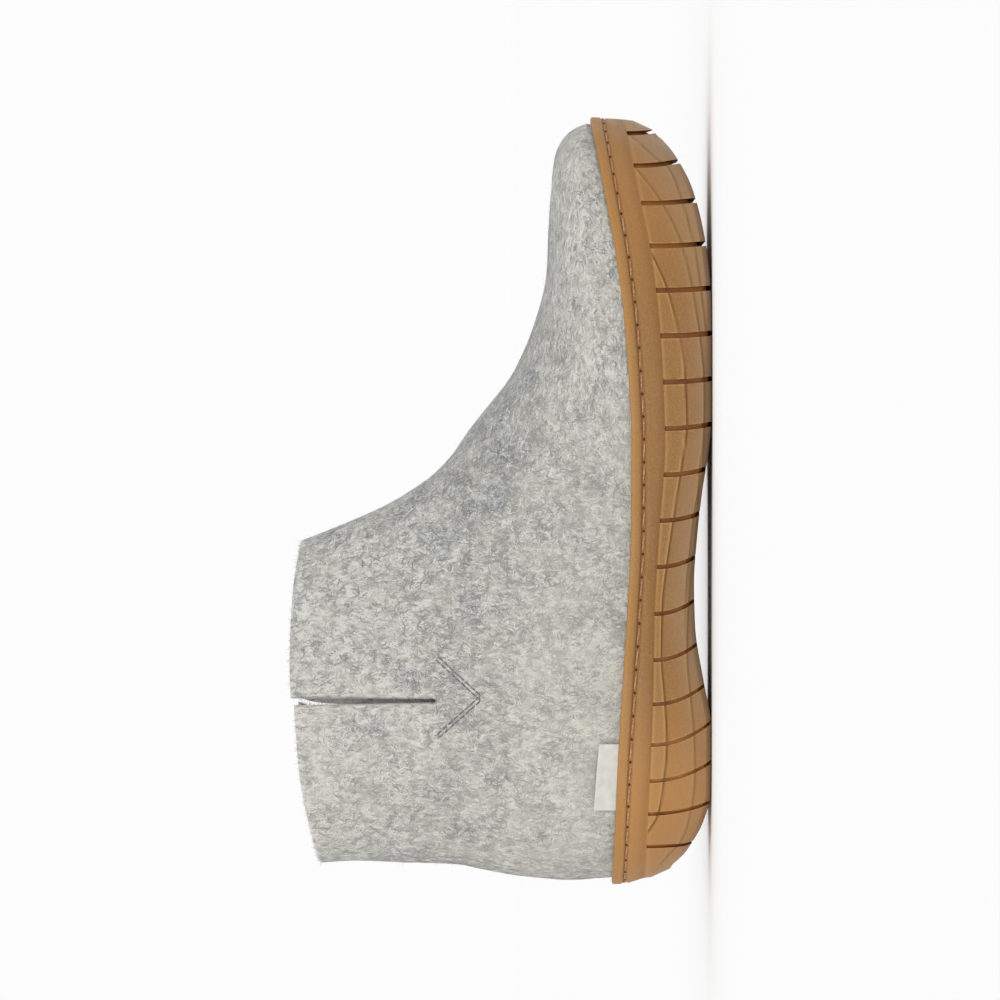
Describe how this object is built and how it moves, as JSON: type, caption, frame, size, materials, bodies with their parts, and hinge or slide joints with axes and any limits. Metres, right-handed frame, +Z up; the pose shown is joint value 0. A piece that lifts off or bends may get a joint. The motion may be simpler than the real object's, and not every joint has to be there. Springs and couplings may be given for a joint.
{
  "type": "wool slipper boot",
  "caption": "Ankle-high felted wool slipper boot for the right foot, with side slits at the collar, a stitched natural rubber cup sole with cross grooves, an insole and a blank side tab.",
  "frame": {"origin": "on the floor, under the middle of the shoe's bounding box", "axes": "+X to the toe, +Y to the inner side of the right foot, +Z up"},
  "size_m": [0.28, 0.1129, 0.1529],
  "materials": {
    "felt": "grey felted wool, matt, hairy nap",
    "rubber": "honey tan natural rubber, satin",
    "insole_felt": "dark grey felt, matt",
    "tape": "off-white woven tape, matt, blank"
  },
  "bodies": {
    "root": {"upper": "felt", "outsole": "rubber", "insole": "insole_felt", "side_tab": "tape"}
  },
  "joints": []
}
